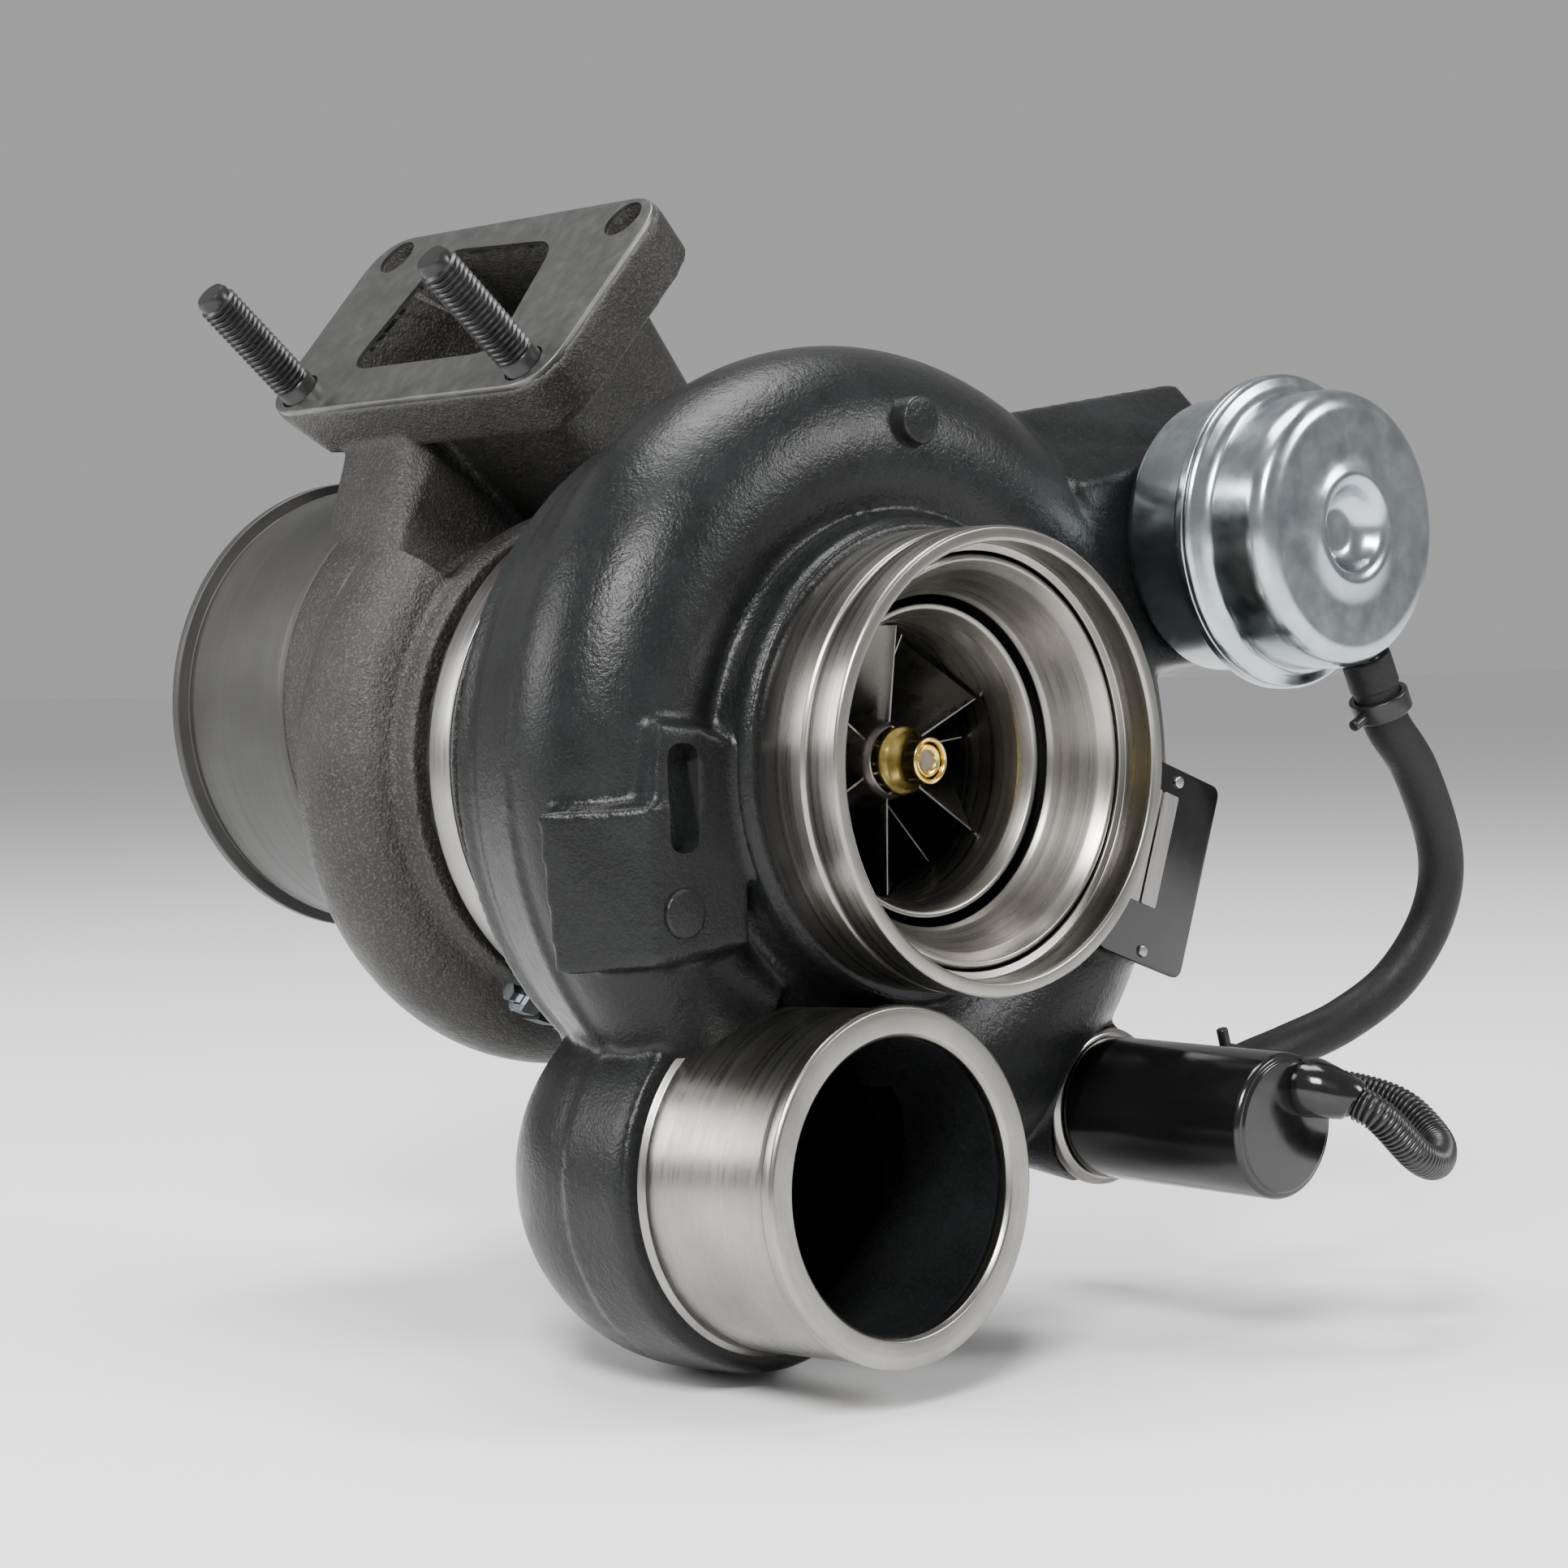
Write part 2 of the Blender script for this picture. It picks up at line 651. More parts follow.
def cover_hollows():
    """Bore, scroll, way out, the actuator's holes, the solenoid's seat and the pad's slot."""
    duct_end, duct_radius = volute_station(VOLUTE_END + 4)
    tip = 59.4
    bore = turned([(0, 20), (49.5, 20), (49.5, 27), (39.6, 27), (39.6, tip - 0.3), (74.4, tip),
                   (74.4, 98), (0, 98)])
    way_out = cast_shape([aimed(disc(OUTLET_BORE, -4, 64, SIDES), OUTLET_START, OUTLET_DIRECTION),
                          ball(ELBOW, 37.0),
                          rod(duct_end, ELBOW, duct_radius - VOLUTE_WALL, 48, 36.0)], 1.6)
    return [bore, duct(volute_station, VOLUTE_WALL, 205, VOLUTE_END, 70, 32), way_out,
            rod(SOLENOID_SEAT - Vector((0, 20, 0)), SOLENOID_SEAT, 19.2),
            disc(5.5, 20, 75, SMALL, (ACTUATOR.x, ACTUATOR.z)),
            *[disc(3.4, 20, 60, SMALL, (x, z)) for name, x, z in reversed(CAN_STUDS)],
            pad_slot()]


def compressor_cover():
    casting = cast_shape(cover_solids())
    casting = solid_from(casting, [("DIFFERENCE", cutter) for cutter in cover_hollows()])
    piece("cover_casting", casting, "black_paint", "compressor_cover", angle=50)
    spigot = [(INLET_BORE, 0.5), (48.0, 0.0), (50.3, 0), (INLET_RADIUS, 0.6), (INLET_RADIUS, 8.2),
              (50.1, 8.8), (50.1, 10.0), (50.7, 10.6), (50.7, 24.6), (50.2, 26.5), (45.6, 26.5),
              (45.6, 8.6), (INLET_BORE, 8.2)]
    lathe_piece("cover_inlet_spigot", spigot, 0.25, "machined_aluminium")
    shroud = [(34.6, 23.4), (33.4, 23.6), (31.8, 27.0), (30.7, 33), (30.8, 40), (31.4, 45),
              (34.2, 52), (38, 56.2), (43.5, 59.0), (52, 59.5), (52, 62.0), (40, 61.2), (36, 57.5),
              (35, 50), (34.7, 40)]
    lathe_piece("cover_shroud", shroud, 0.4, "machined_aluminium")
    outlet = [(OUTLET_BORE, 1.2), (OUTLET_BORE + 0.9, 0.2), (37.4, 0), (OUTLET_RADIUS, 0.7),
              (OUTLET_RADIUS, 3.0), (37.5, 3.6), (37.3, 5.0), (37.3, 40.4), (38.6, 41.4),
              (38.6, 43), (34.6, 43), (34.6, 3.4), (OUTLET_BORE, 3.2)]
    shape = aimed(turned(softened(outlet, 0.3)), (0, 0, 0), OUTLET_DIRECTION)
    bmesh.ops.translate(shape, verts=shape.verts, vec=OUTLET_START)
    piece("cover_outlet_spigot", shape, "machined_aluminium", origin=OUTLET_START)


def cover_buttons():
    """Two round cast buttons, on the crown and on the pad, and the collar behind the spigot."""
    for name, centre, front, depth in (("crown", (3, 75), 26.8, 14),
                                       ("pad", (-68, -29.5), 27.0, 4)):
        piece(f"button_{name}", disc(5.4, front, front + depth, SMALL, centre, 0.9), "black_paint")
    collar = [(50.4, 24.6), (52.6, 24.6), (53.6, 26.2), (54.3, 30), (50.4, 30)]
    lathe_piece("spigot_collar", collar, 0.5, "black_paint")


def arm_shapes():
    """Cast arm behind the actuator: a plate with a sloping top and a web below."""
    front, back = CAN_REAR_Y + 1.2, CAN_REAR_Y + 9.8
    plate = hull([(112, front, 72), (112, front, 22), (70, front, 18), (58, front, 62),
                  (113, back, 79), (113, back, 20), (60, back, 14), (48, back, 70)])
    top = hull([(112, front + 4, 77), (111, back + 8, 89), (111, back + 14, 88),
                (112, back + 12, 78), (112, back - 2, 70), (44, front + 8, 67),
                (40, back + 8, 78), (40, back + 14, 77), (44, back - 2, 60)])
    low = hull([(112, front + 3, 24), (111, back + 8, 17), (112, back + 5, 25), (112, back - 2, 28),
                (70, front + 3, 18), (60, back + 14, 10), (60, back + 8, 22), (60, back - 2, 24)])
    return plate, top, low


def pad_shapes():
    """Block cast on the left of the volute: a low part with a slanted side, and one above it."""
    low = hull([(-77, 28, -7), (-75.5, 28, -40), (-50, 28, -37), (-50, 28, -4),
                (-93, 47, -8), (-89, 47, -42), (-50, 46, -42), (-50, 46, 0)])
    high = hull([(-75, 28.5, -12), (-50, 28, -12), (-50, 28, 4), (-64, 28, 9.5), (-73, 29, 10),
                 (-80, 46, -12), (-50, 46, -12), (-50, 46, 12), (-77, 46, 14)])
    return low, high


def pad_slot():
    corners = [(-71.5, 24, -17), (-63.5, 24, -17), (-63.5, 24, 6), (-71.5, 24, 6)]
    return prism(rounded_outline(corners, 3.9), Vector((0, 8.6, 0)))


PLATE_CENTRE = Vector((70.4, 18.6, -27.0))
PLATE_U = Vector((0.943, 0, -0.333))
PLATE_V = Vector((0.333, 0, 0.943))


def plate_outline(u0, u1, v0, v1, y, reach=3.0):
    """A rounded rectangle on the data plate's own axes, at a depth y."""
    middle = Vector((PLATE_CENTRE.x, y, PLATE_CENTRE.z))
    corners = [middle + PLATE_U * u + PLATE_V * v
               for u, v in ((u0, v0), (u1, v0), (u1, v1), (u0, v1))]
    return rounded_outline(corners, reach)


def plate_boss():
    return prism(plate_outline(-13.5, 13.5, -22, 22, PLATE_CENTRE.y + 1.7), Vector((-3, 18, 3)))


def data_plate():
    """Plate with no lettering: two plain pale fields and two drive pins."""
    face_y = PLATE_CENTRE.y
    shape = prism(plate_outline(-15, 15, -23.5, 23.5, face_y), Vector((0, 1.4, 0)), 0.3)
    piece("plate_blank", shape, "black_plastic", "data_plate", slot="black_paint")
    for i, u in enumerate((-7.6, -1.6)):
        outline = plate_outline(u - 2.6, u + 2.6, -10, 17, face_y - 0.35, 0.6)
        piece(f"plate_field_{i + 1}", prism(outline, Vector((0, 0.5, 0))), "machined_steel")
    for name, v in (("low", -20.5), ("high", 20.5)):
        centre = PLATE_CENTRE + PLATE_V * v
        pin = disc(1.5, face_y - 0.7, face_y + 1.0, 24, (centre.x, centre.z))
        piece(f"plate_pin_{name}", pin, "machined_steel")


def inlet_baffle():
    shape = [(43.6, 8.6), (44.4, 8.6), (45.1, 9.4), (45.1, 21.6), (43.4, 22.2), (37.0, 23.3),
             (36.4, 22.6), (37.4, 21.2), (41.6, 11.5)]
    lathe_piece("baffle_ring", shape, 0.4, "machined_aluminium", "inlet_baffle_ring")


# ---- rotor

FULL_BLADES = 6             # of the compressor wheel, with as many short ones between them
TURBINE_BLADES = 10


def blade(hub, shroud, count, thickness, start_angle, wrap, sink, rise=1.3):
    """One curved vane between a hub line and a shroud line of (radius, y) points."""
    lines = []
    for line, depth in ((hub, -sink), (shroud, 0.0)):
        fine = smooth_route([(radius + depth, y, 0) for radius, y in line], count)
        lines.append([(p.x, p.y) for p in fine])
    rows = []
    for i in range(count):
        t = i / (count - 1)
        angle = start_angle + wrap * t ** rise
        edge = min(1.0, 0.35 + 6 * min(t, 1 - t))
        sides = []
        for line, root in ((lines[0], 1.5), (lines[1], 0.8)):
            radius, y = line[i]
            half = thickness * edge * root / 2 / radius
            sides.append([Vector((radius * math.cos(angle + s), y, radius * math.sin(angle + s)))
                          for s in (-half, half)])
        low, high = sides
        mid = [a.lerp(b, 0.5) for a, b in zip(low, high)]
        rows.append([low[0], mid[0], high[0], high[1], mid[1], low[1]])
    return skin(rows)


def compressor_wheel():
    hub = [(4.3, 34.3), (7.6, 34.3), (8.6, 36), (9.6, 40), (11, 45), (15.5, 53.5), (24, 59.8),
           (34, 62.2), (43, 62.9), (43, 63.8), (21, 64.5), (10.6, 66.8), (4.3, 66.8)]
    hub_line = [(8.9, 36.6), (9.6, 40.5), (11.4, 46), (15.4, 53), (23.4, 59.2), (33, 62.2),
                (42.6, 63.0)]
    shroud_line = [(30.0, 35.4), (30.0, 39), (30.2, 43), (31.6, 48.5), (34.8, 53.6), (38.6, 57.2),
                   (42.6, 59.4)]
    vanes = []
    for i in range(FULL_BLADES):
        start = math.radians(26 + 360 / FULL_BLADES * i)
        vanes.append(blade(hub_line, shroud_line, 26, 1.0, start, math.radians(62), 1.2))
        vanes.append(blade(hub_line[2:], shroud_line[2:], 20, 1.0, start + math.radians(42),
                           math.radians(50), 1.2))
    wheel = solid_from(turned(softened(hub, 0.5)), [("UNION", vane) for vane in vanes], "EXACT")
    piece("impeller", wheel, "milled_alloy", "compressor_wheel", body="rotor", angle=30,
          slot="machined_aluminium")


def rotor_shaft():
    hub = [(0, 24.5), (3.4, 24.5), (4.0, 25.2), (4.0, 83.4), (5.5, 83.6), (5.5, 118), (8.5, 118.4),
           (8.5, 122.2), (7.2, 122.2), (7.2, 124.1), (8.5, 124.1), (8.5, 130.2), (12, 131.0),
           (28, 131.4), (28, 132.6), (20, 136), (13.5, 142), (9.6, 152), (7.6, 165), (5, 168.5),
           (0, 169)]
    hub_line = [(27.5, 132.6), (20, 135.8), (13.8, 141.4), (10.4, 148), (8.8, 155), (8, 162)]
    shroud_line = [(33, 134), (32.9, 141.6), (31.4, 145.6), (29.6, 150.6), (28.6, 156),
                   (28.6, 162.6)]
    vanes = [blade(hub_line, shroud_line, 20, 1.5, math.tau * i / TURBINE_BLADES,
                   math.radians(-42), 1.4) for i in range(TURBINE_BLADES)]
    shape = solid_from(turned(hub), [("UNION", vane) for vane in vanes], "EXACT")
    piece("turbine_rotor", shape, "heat_alloy", "turbine_wheel_and_shaft", body="rotor", angle=30)


def compressor_nut():
    """Flanged yellow nut with a rounded neck and a drive recess in its tip."""
    shape = [(4.1, 26.0), (4.1, 23.4), (4.6, 22.9), (5.2, 23.2), (5.2, 27.0), (5.6, 28.2),
             (6.6, 30.0), (7.6, 31.2), (7.9, 32.0), (7.9, 33.9), (4.3, 33.9)]
    lathe_piece("wheel_nut", shape, 0.35, "yellow_zinc", "compressor_nut", body="rotor",
                steps=SMALL)
    socket = [(0, 24.9), (2.0, 24.9), (2.4, 23.9), (3.4, 23.6), (3.9, 24.4), (3.9, 26), (0, 26)]
    lathe_piece("nut_socket", socket, 0.25, "yellow_zinc", body="rotor", steps=SMALL)


# ---- turbine housing

PIVOT = Vector((0.0, 205.0, 27.8))
PORT = Vector((6.0, 184.0, 44.0))
BARREL = (-5.0, 13.0)
TURBINE_START = 49.0        # degrees, where the inlet neck meets the scroll
TURBINE_END = -225.0
TURBINE_LAST_OUTER = 74.0
TURBINE_OUTER_GAIN = 16.0
TURBINE_LAST_TUBE = 16.0
TURBINE_TUBE_GAIN = 9.0
TURBINE_Y = 157.5
TURBINE_LEAN = 4.0
FLANGE_CORNER = 13          # corner radius of the manifold flange
FLANGE_PORT = ((30, 18), (-29, 18), (-23, -20), (24, -23))
FLANGE_PORT_CORNER = 8.0
STUD_PLACES = ((-45.25, 23.5), (45.25, 23.5), (45.25, -23.5), (-45.25, -23.5))
THREAD_PITCH = 1.5
THREAD_START = 17.6
THREAD_END = 46.0


def turbine_station(angle):
    part = (TURBINE_START - angle) / (TURBINE_START - TURBINE_END)
    outer = TURBINE_LAST_OUTER + TURBINE_OUTER_GAIN * (1 - part) ** 2.5
    radius = TURBINE_LAST_TUBE + TURBINE_TUBE_GAIN * (1 - part) ** 1.2
    return scroll_station(angle, outer, radius, TURBINE_Y - TURBINE_LEAN * part)


def flange_point(along_y, across, depth=0.0):
    return FLANGE_CENTRE + Vector((0, along_y, 0)) + FLANGE_ACROSS * across - FLANGE_NORMAL * depth


def flange_loop(corners, depth, reach, steps=8):
    return rounded_outline([flange_point(y, t, depth) for y, t in corners], reach, steps)


def matched(loop, target):
    """Reorder a ring of points so that it starts and turns like the target ring."""
    best = None
    count = len(loop)
    for direction in (1, -1):
        for start in range(count):
            order = [loop[(start + direction * i) % count] for i in range(count)]
            cost = sum((a - b).length for a, b in zip(order, target))
            if best is None or cost < best[0]:
                best = (cost, order)
    return best[1]


def inlet_neck(grow, top_depth, steps=8):
    """Loft from the four-sided port under the flange to the round start of the volute."""
    port = [(y + math.copysign(grow, y), t + math.copysign(grow, t)) for y, t in FLANGE_PORT]
    top = flange_loop(port, top_depth, FLANGE_PORT_CORNER, steps)
    low = flange_loop(port, 18, FLANGE_PORT_CORNER, steps)
    centre, radius = turbine_station(TURBINE_START)
    end_radius = radius if grow > 5 else radius - 5.6
    end = circle_points(centre - FLANGE_NORMAL * 4, -FLANGE_NORMAL, end_radius, len(top), ALONG_Y)
    end = matched(end, low)
    middle = [[a.lerp(b, t) for a, b in zip(low, end)] for t in (0.25, 0.5, 0.75)]
    return skin([top, low, *middle, end])


def rectangle(y0, y1, half_t):
    return [(y1, half_t), (y0, half_t), (y0, -half_t), (y1, -half_t)]


def flange_shape(top, bottom):
    corners = rectangle(-56.5, 56.5, 31.0)
    low = rectangle(-54.5, 50.5, 31.0)
    return skin([flange_loop(loop, depth, FLANGE_CORNER)
                 for loop, depth in ((corners, top), (corners, top + 3), (low, bottom))])


def turbine_solids():
    """Closed shapes that melt into the outside of the turbine housing."""
    base = [(36, 133), (60, 133), (61.5, 136.5), (60.5, 141), (56, 146), (50, 178), (36, 178)]
    gusset = hull([flange_point(36, 20, 10), flange_point(36, -20, 10), flange_point(10, 24, 10),
                   flange_point(8, -8, 12), (-52, 176, 26), (-40, 176, 52), (-57, 162, 24),
                   (-43, 160, 50), (-12, 166, 60), (2, 169, 62), (-50, 190, 30), (-30, 196, 54),
                   (0, 192, 58), (-52, 174, 4), (-54, 162, 4), (-40, 166, 4), (-28, 158, 32),
                   (2, 160, 42), (2, 186, 42)])
    return [turned(base), duct(turbine_station, 0, TURBINE_START, TURBINE_END, 80, 40),
            inlet_neck(7.0, 2.0), flange_shape(1.0, 16.0), gusset,
            turned([(0, 166), (55.8, 170), (55.8, 186), (0, 186)], SIDES, BARREL),
            cross_rod(42, 71.6, PIVOT.y, PIVOT.z, 9.2)]


def turbine_hollows():
    """Wheel bore, scroll, neck, outlet chamber, wastegate port, bush bore and clamp groove."""
    wheel_bore = turned([(0, 120), (46, 120), (46, 139), (58, 141.6), (58, 148.4), (38, 148.4),
                         (33.8, 147.6), (32.0, 149), (30.2, 153), (29.4, 157), (29.4, 189),
                         (0, 189)])
    return [wheel_bore, duct(turbine_station, 5.0, TURBINE_START, TURBINE_END, 70, 32),
            inlet_neck(0.0, -2.0),
            turned([(0, 184), (52, 184), (52, 192), (0, 192)], SIDES, BARREL),
            rod((PORT.x + 10, 162, PORT.z + 8), (PORT.x, 189, PORT.z), 7.2),
            cross_rod(40, 76, PIVOT.y, PIVOT.z, 6.5),
            ring(52.4, 58.4, 115, 132.8), *stud_holes(-2, 19, 5.4)]


def stud_holes(top, bottom, radius):
    return [rod(flange_point(y, across, top), flange_point(y, across, bottom), radius)
            for y, across in STUD_PLACES]


def turbine_housing():
    casting = cast_shape(turbine_solids(), rounds=6)
    casting = solid_from(casting, [("DIFFERENCE", cutter) for cutter in turbine_hollows()])
    piece("turbine_casting", casting, "cast_iron", "turbine_housing", angle=50)
    barrel = [(52, 184), (56.0, 184), (56.3, 186), (56.3, 223.4), (55.2, 224.2), (55.2, 226.8),
              (58.3, 227.4), (58.3, 230), (53.6, 230), (52, 224)]
    lathe_piece("turbine_outlet_barrel", barrel, 0.4, "smooth_iron", centre=BARREL,
                origin=(BARREL[0], 200, BARREL[1]), slot="cast_iron")
    rim = [(52, 129.1), (52.1, 133.4), (44, 133.4), (44, 131), (46.2, 129.1)]
    lathe_piece("turbine_rim", rim, 0.2, "smooth_iron", slot="cast_iron")
    outline = flange_loop(rectangle(-56.2, 56.2, 30.7), 0, FLANGE_CORNER, 10)
    port = prism(flange_loop(FLANGE_PORT, -3, FLANGE_PORT_CORNER, 10), -FLANGE_NORMAL * 8)
    face = solid_from(prism(outline, -FLANGE_NORMAL * 2.0, 0.4),
                      [("DIFFERENCE", cutter) for cutter in (port, *stud_holes(-3, 8, 5.5))])
    piece("flange_machined_face", face, "flange_face", slot="cast_iron")


def inlet_studs():
    """Two studs whose thread is a stack of turned crests."""
    for name, (y, across) in zip(("front", "rear"), STUD_PLACES):
        foot = flange_point(y, across, 14)
        profile = [(0, 0), (4.9, 0), (4.9, 17.0)]
        crest = THREAD_START
        while crest < THREAD_END:
            profile += [(4.25, crest), (4.95, crest + 0.55), (4.95, crest + 0.8),
                        (4.25, crest + 1.3)]
            crest += THREAD_PITCH
        profile += [(4.3, 47.4), (3.6, 48.6), (0, 48.7)]
        piece(f"stud_{name}", aimed(turned(profile, SMALL), foot, FLANGE_NORMAL), "black_oxide",
              f"inlet_stud_{name}", angle=50)


# ---- actuator

LEVER_LENGTH = 24.0
LEVER_REST = math.radians(-17.5)
LEVER_X = 92.0
PIN_Y = PIVOT.y + LEVER_LENGTH * math.sin(LEVER_REST)
PIN_Z = PIVOT.z + LEVER_LENGTH * math.cos(LEVER_REST)
CRIMP_Y = 6.0
CRIMP_RADIUS = 37.0


def actuator():
    """Two pressed cans that meet in a rolled crimp, with two studs and nuts behind."""
    centre = (ACTUATOR.x, ACTUATOR.z)
    origin = (ACTUATOR.x, 0, ACTUATOR.z)
    front, rear, crimp, radius = CAN_FRONT_Y, CAN_REAR_Y, CRIMP_Y, CAN_RADIUS
    cup = [(0, front + 6.4), (5.6, front + 6.4), (8.2, front + 4.4), (10.2, front + 0.9),
           (12.6, front), (15.0, front + 0.9), (17.5, front + 1.3), (28.4, front + 1.3),
           (31.2, front + 2.7), (radius, front + 5.6), (radius, crimp - 4.4), (33.6, crimp - 3.0),
           (36.4, crimp - 1.9), (CRIMP_RADIUS, crimp - 1.0), (CRIMP_RADIUS, crimp - 0.2),
           (30.6, crimp - 0.2), (30.6, front + 6), (28, front + 2.9), (13, front + 2.6),
           (9, front + 7.6), (0, front + 8)]
    piece("can_front", turned(softened(cup, 1.4, 5), SIDES, centre), "zinc_plate",
          "actuator_front_can", origin=origin)
    back = [(5.4, rear - 1.8), (29, rear - 1.8), (30.6, rear - 4), (30.6, crimp + 1.4),
            (35.8, crimp + 1.4), (35.8, crimp + 0.1), (CRIMP_RADIUS, crimp + 0.1),
            (CRIMP_RADIUS, crimp + 2.4), (36.2, crimp + 3.2), (33.6, crimp + 4.0),
            (radius, crimp + 5.6), (radius, rear - 3), (30, rear), (5.4, rear)]
    piece("can_rear", turned(softened(back, 0.9, 5), SIDES, centre), "zinc_plate",
          "actuator_rear_can", origin=origin)
    for name, x, z in CAN_STUDS:
        piece(f"can_stud_{name}", disc(3.0, rear + 0.2, rear + 18, SMALL, (x, z)), "zinc_plate",
              f"actuator_stud_{name}")
        piece(f"can_nut_{name}", hex_nut((x, rear + 10.2, z), 10, 5.2, 3.1), "zinc_plate",
              f"actuator_nut_{name}")


def actuator_rod():
    x, z = ACTUATOR.x, ACTUATOR.z
    piece("push_rod", disc(3.0, 2.1, PIN_Y - 9, SMALL, (x, z)), "zinc_plate",
          "actuator_rod", body="rod", origin=(x, 0, z))
    eye = cross_rod(x - 2.8, x + 2.8, PIN_Y, PIN_Z, 9.2, steps=SIDES, reach=0.6)
    shank = disc(5.4, PIN_Y - 26, PIN_Y - 6, SMALL, (x, z), 0.8)
    eye_hole = cross_rod(x - 8, x + 8, PIN_Y, PIN_Z, 4.2)
    bore = disc(3.2, PIN_Y - 30, PIN_Y - 8.6, SMALL, (x, z), 0.1)
    end = solid_from(eye, [("UNION", shank), ("DIFFERENCE", eye_hole), ("DIFFERENCE", bore)])
    piece("rod_eye", end, "zinc_plate", "rod_end", body="rod")
    piece("rod_nut", hex_nut((x, PIN_Y - 31.5, z), 10, 5.0, 3.2), "zinc_plate",
          "rod_locknut", body="rod")


def wastegate_lever():
    """Flat lever outside the housing, with the headed pin that the rod's eye goes round."""
    head = LEVER_X - 5.7
    groove = ACTUATOR.x + 3.0 - head
    pin = [(0, 0), (5.2, 0), (5.2, 2.4), (3.0, 2.4), (3.0, groove), (2.0, groove),
           (2.0, groove + 1.4), (3.0, groove + 1.4), (3.0, groove + 3.4), (0, groove + 3.4)]
    piece("crank_pin", aimed(turned(softened(pin, 0.3), SMALL), (head, PIN_Y, PIN_Z),
                             Vector((1, 0, 0))), "machined_steel", "lever_pin", body="wastegate")
    up = Vector((0, 0, 1))
    flat = hull([point for x in (LEVER_X - 3, LEVER_X + 3)
                 for y, z, radius in ((PIVOT.y, PIVOT.z, 9.0), (PIN_Y, PIN_Z, 6.8))
                 for point in ring_points(Vector((x, y, z)), radius, ALONG_Y, up, 48)])
    for y, z, radius in ((PIVOT.y, PIVOT.z, 4.1), (PIN_Y, PIN_Z, 3.1)):
        hole = cross_rod(LEVER_X - 12, LEVER_X + 12, y, z, radius)
        flat = solid_from(flat, [("DIFFERENCE", hole)])
    piece("crank", flat, "machined_steel", "wastegate_lever", body="wastegate")


def wastegate():
    """Spindle with its arm, the flap over the port, its washer, and the spindle's bush."""
    centre = (PORT.x, PORT.z)
    y = PORT.y
    spindle = cross_rod(-1, 96.5, PIVOT.y, PIVOT.z, 4.0, reach=0.5)
    web = hull([(web_x, web_y, web_z) for web_x in (PORT.x - 5, PORT.x + 5) for web_y, web_z in
                ((PIVOT.y - 3.5, PIVOT.z), (PIVOT.y + 3.5, PIVOT.z), (y + 13, PORT.z - 7),
                 (y + 8.5, PORT.z - 4), (y + 8.5, PORT.z - 9))])
    eye_pad = disc(7.4, y + 8.4, y + 12.8, SMALL, centre)
    hole = disc(3.6, y, y + 24, SMALL, centre, 0.1)
    arm = solid_from(spindle, [("UNION", web), ("UNION", eye_pad), ("DIFFERENCE", hole)], "EXACT")
    piece("gate_arm", arm, "heat_alloy", "wastegate_spindle_arm", body="wastegate")
    flap = [(0, y + 0.3), (10.0, y + 0.3), (10.0, y + 4.4), (7.5, y + 5.8), (6.2, y + 8.1),
            (3.2, y + 8.1), (3.2, y + 14.2), (0, y + 14.2)]
    lathe_piece("gate_flap", flap, 0.5, "heat_alloy", "wastegate_flap", centre=centre,
                body="wastegate", origin=PORT)
    piece("gate_washer", ring(3.4, 5.6, y + 13.1, y + 14.6, SMALL, centre), "heat_alloy",
          "flap_washer", body="wastegate")
    piece("gate_bush", pipe((44, PIVOT.y, PIVOT.z), (73.5, PIVOT.y, PIVOT.z), 6.2, 4.3),
          "heat_alloy", "wastegate_bush")


# ---- solenoid, hose and lead

HOSE_RADIUS = 5.5
LOOM_RADIUS = 4.0
LOOM_RIBS = 104
LOOM_PATTERN = (0, 0, -0.25, -0.7, -0.25)
BARB_RADIUS = 3.4
NIPPLE_DIRECTION = Vector((0.45, 0, -0.893)).normalized()
NIPPLE_FOOT = Vector((ACTUATOR.x, -5.5, ACTUATOR.z)) + NIPPLE_DIRECTION * CAN_RADIUS
HOSE_START = NIPPLE_FOOT + NIPPLE_DIRECTION * 9.0
PORT_DIRECTION = Vector((0.956, 0.092, 0.276)).normalized()
VALVE_PORT = Vector((SOLENOID.x + 16.5, 16, SOLENOID.z + 2))
HOSE_END = VALVE_PORT + PORT_DIRECTION * 8.6
HOSE_ROUTE = [HOSE_START, HOSE_START + NIPPLE_DIRECTION * 10, (137, -5, -7), (149, -3, -27),
              (149.5, 0, -43), (141, 5, -58), (128, 11, -67.5), (113, 16, -73),
              HOSE_END + PORT_DIRECTION * 10, HOSE_END]
GLAND = Vector((SOLENOID.x + 8, SOLENOID_FRONT_Y, SOLENOID.z + 8))
LOOM_START = GLAND + Vector((5.0, -9.0, -3.0))
LOOM_DIRECTION = Vector((0.45, -0.72, -0.53)).normalized()
LOOM_END = Vector((101, 50, -86))
LOOM_ROUTE = [LOOM_START, LOOM_START + LOOM_DIRECTION * 7, (91, -38.5, -91.5), (104, -34, -95),
              (115.5, -26, -92.5), (117, -16, -85.5), (114, -6, -82), (110, 4, -81.5),
              (105.5, 14, -87), (102.5, 26, -89), (101, 38, -86.5), LOOM_END]


def even_route(points, count):
    """Points at even distances along the smooth route."""
    fine = smooth_route(points, 600)
    lengths = [0.0]
    for a, b in zip(fine, fine[1:]):
        lengths.append(lengths[-1] + (b - a).length)
    route, k = [], 0
    for i in range(count):
        goal = lengths[-1] * i / (count - 1)
        while k < len(fine) - 2 and lengths[k + 1] < goal:
            k += 1
        t = (goal - lengths[k]) / (lengths[k + 1] - lengths[k])
        route.append(fine[k].lerp(fine[k + 1], min(max(t, 0), 1)))
    return route, lengths[-1]


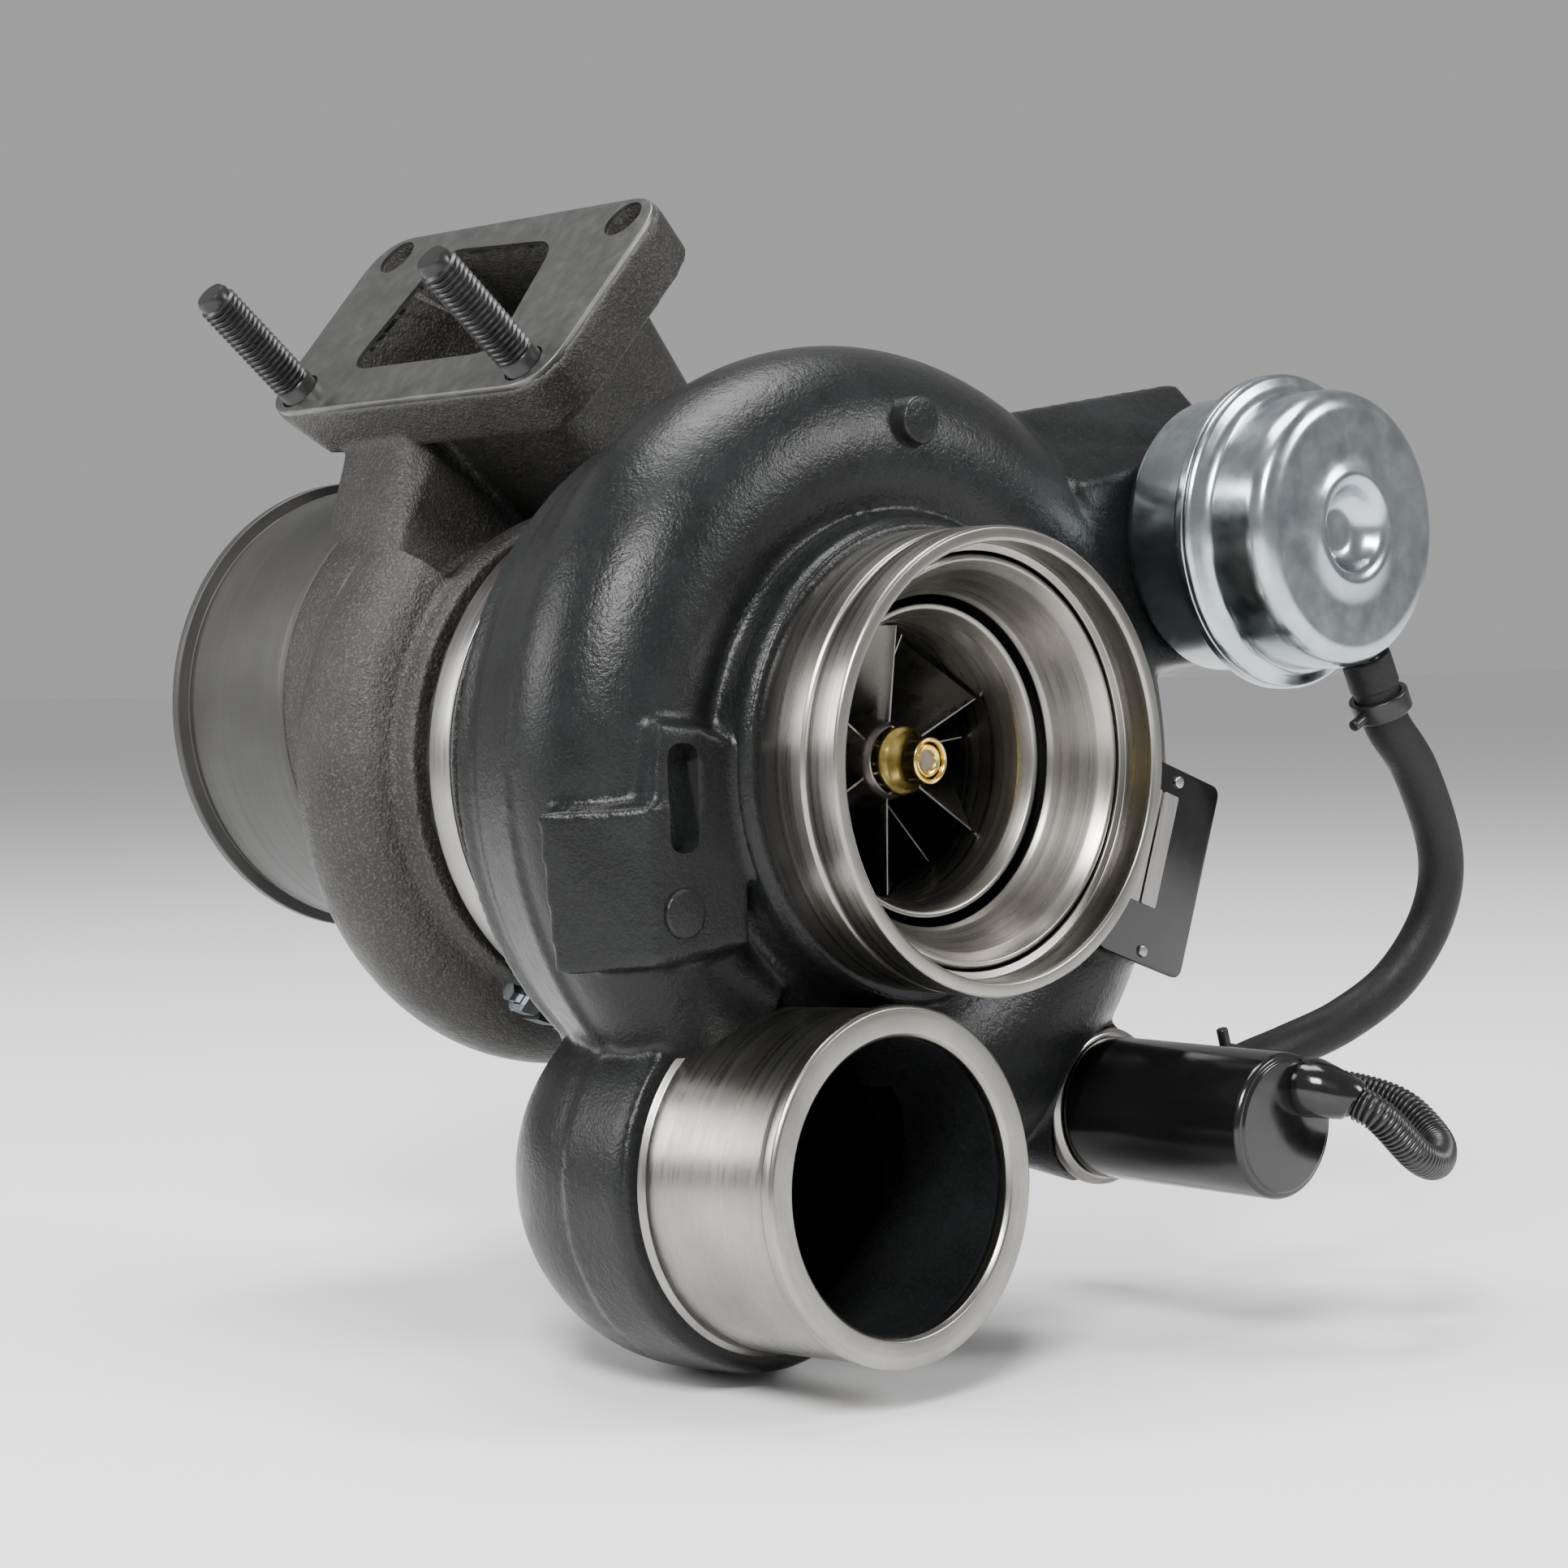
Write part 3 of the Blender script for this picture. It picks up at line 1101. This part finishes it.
def boost_hose():
    route, length = even_route(HOSE_ROUTE, 120)
    shape = tube(route, [HOSE_RADIUS] * len(route), SMALL)
    sleeve = pipe(NIPPLE_FOOT + NIPPLE_DIRECTION * 0.8, HOSE_START - NIPPLE_DIRECTION * 0.05,
                  6.0, 3.5, SMALL, 0.6)
    piece("hose_sleeve", sleeve, "rubber")
    hose = piece("pressure_hose", shape, "rubber", "boost_hose", angle=60)


def solenoid_lead():
    """Ribbed conduit: rings a little over a millimetre apart."""
    per_rib = len(LOOM_PATTERN)
    route, length = even_route(LOOM_ROUTE, LOOM_RIBS * per_rib + 1)
    radii = [LOOM_RADIUS + LOOM_PATTERN[i % per_rib] for i in range(len(route))]
    lead = piece("ribbed_lead", tube(route, radii, 28), "loom_plastic", "solenoid_lead",
                 slot="black_plastic", angle=60)


def solenoid():
    """Round valve on its seat ring, with a port for the hose; also both nipples of the hose."""
    centre = (SOLENOID.x, SOLENOID.z)
    front, rear, radius = SOLENOID_FRONT_Y, SOLENOID_REAR_Y, 16.5
    can = [(0, front), (14.6, front), (15.0, front + 0.5), (15.8, front + 0.5),
           (radius, front + 1.4), (radius, rear - 3.6), (3.8, rear - 3.6), (3.8, rear + 6),
           (0, rear + 6)]
    lathe_piece("valve_can", can, 0.5, "black_plastic", "solenoid_body", centre=centre,
                origin=SOLENOID)
    port_end = VALVE_PORT + PORT_DIRECTION * 1.6
    port = rod(VALVE_PORT - PORT_DIRECTION * 8, port_end, 5.4, SMALL, reach=0.5)
    piece("valve_port", port, "black_plastic")
    seat = [(4.6, rear - 3.2), (17.2, rear - 3.2), (18.4, rear - 2.0), (18.6, rear), (4.6, rear)]
    lathe_piece("valve_seat_ring", seat, 0.4, "machined_aluminium",
                "solenoid_adapter_ring", centre=centre, origin=SOLENOID)
    lead_gland()
    piece("valve_barb", rod(port_end, HOSE_END, BARB_RADIUS), "machined_steel", "valve_nipple")
    piece("can_barb", rod(NIPPLE_FOOT - NIPPLE_DIRECTION * 0.6, HOSE_START, BARB_RADIUS),
          "zinc_plate", "actuator_nipple")


def lead_gland():
    """Cone that bends from the valve's front face into the lead."""
    up = Vector((0, 0, 1))
    out = Vector((0, -1, 0))
    rings = [circle_points(GLAND + out * depth, out, radius, SMALL, up)
             for depth, radius in ((0.1, 6.8), (2.5, 6.7))]
    for t in (0.35, 0.65, 0.9):
        middle = (GLAND + out * 3).lerp(LOOM_START, t)
        along = out.lerp(LOOM_DIRECTION, t)
        rings.append(circle_points(middle, along, 6.5 - 1.6 * t, SMALL, up))
    rings.append(circle_points(LOOM_START, LOOM_DIRECTION, 4.5, SMALL, up))
    piece("lead_gland", skin(rings), "black_plastic", "loom_gland", angle=60)


def hose_clips():
    """A spring band near each end of the hose, with a bent tail."""
    places = (("actuator", HOSE_START, HOSE_ROUTE[1], Vector((-0.893, 0, -0.45))),
              ("valve", HOSE_END, HOSE_ROUTE[-2], Vector((-0.276, 0, 0.956))))
    for name, end, following, side in places:
        along = (Vector(following) - end).normalized()
        start = end + along * 2
        shape = pipe(start, start + along * 5, 7.2, 5.6, SMALL, 0.5)
        middle = start + along * 2.5
        tail = rod(middle + side * 6.4, middle + side * 11.8, 1.4, 24, reach=0.5)
        clip = solid_from(shape, [("UNION", tail)])
        piece(f"clip_{name}", clip, "black_oxide", f"hose_clip_{name}",
              slot="spring_steel")


# ---- pieces kept from the CAD model

KEPT = {
    "machined_steel": ("oil_slinger", "thrust_collar", "heat_shield", "actuator_piston",
                       "lead_bracket"),
    "spring_steel": ("compressor_seal_ring", "turbine_seal_ring", "bearing_ring_front",
                     "bearing_ring_rear", "cover_retaining_ring", "pin_clip", "actuator_spring"),
    "bronze": ("thrust_bearing", "journal_bearing_front", "journal_bearing_rear"),
    "rubber": ("cover_seal_ring", "actuator_diaphragm"),
    "black_oxide": ("turbine_clamp_band",),
    "zinc_plate": ("clamp_bolt", "clamp_nut"),
    "loom_plastic": ("lead_connector",),
}


def dress_kept_nodes():
    for material, names in KEPT.items():
        for name in names:
            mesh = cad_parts[name].data
            mesh.materials.clear()
            mesh.materials.append(MATERIALS[material])


def centre_section():
    """Bearing housing and backplate, turned finely, with the oil pads on top and below."""
    outer = [(73.4, 72.3), (73.4, 84.0), (68.5, 84.2), (48, 90), (42, 97), (42, 106), (56, 115.5),
             (61, 116.6), (61, 125), (52, 125), (52, 128.7), (9.9, 128.7), (9.9, 118.6),
             (9.2, 118.4), (9.2, 86.2), (13, 85.8), (13, 80.2), (24.4, 80.1), (24.4, 72.3)]
    feed = rod((0, 101, 30), (0, 101, 54), 14, SMALL, reach=0.8)
    corners = [(-24, 95, -38), (24, 95, -38), (24, 111, -38), (-24, 111, -38)]
    drain = prism(rounded_outline(corners, 5), Vector((0, 0, -20)), 0.6)
    cuts = [rod((0, 103, -30), (0, 103, -60), 6.5), rod((0, 101, 38), (0, 101, 56), 5.0),
            rod((17, 103, -48), (17, 103, -60), 3.4), rod((-17, 103, -48), (-17, 103, -60), 3.4)]
    shape = solid_from(turned(softened(outer, 0.6)), [("UNION", feed), ("UNION", drain)]
                       + [("DIFFERENCE", c) for c in cuts], "EXACT")
    piece("centre_casting", shape, "cast_iron", "bearing_housing")
    land = ring(60.2, 61.4, 117.0, 124.8)
    piece("centre_flange_land", land, "machined_steel", slot="cast_iron")
    plate = [(73.4, 64.4), (44, 64.4), (21, 65.1), (12.2, 67.4), (11.0, 68.4), (11.0, 72.0),
             (73.4, 72.0), (73.4, 70.5), (72.2, 70.0), (72.2, 67.2), (73.4, 66.7)]
    lathe_piece("seal_plate", plate, 0.3, "machined_aluminium", "compressor_backplate")


# ---- assembly

put_camera()
put_studio()
compressor_cover()
cover_buttons()
data_plate()
inlet_baffle()
compressor_wheel()
rotor_shaft()
compressor_nut()
centre_section()
turbine_housing()
inlet_studs()
actuator()
actuator_rod()
wastegate_lever()
wastegate()
solenoid()
boost_hose()
solenoid_lead()
hose_clips()
dress_kept_nodes()
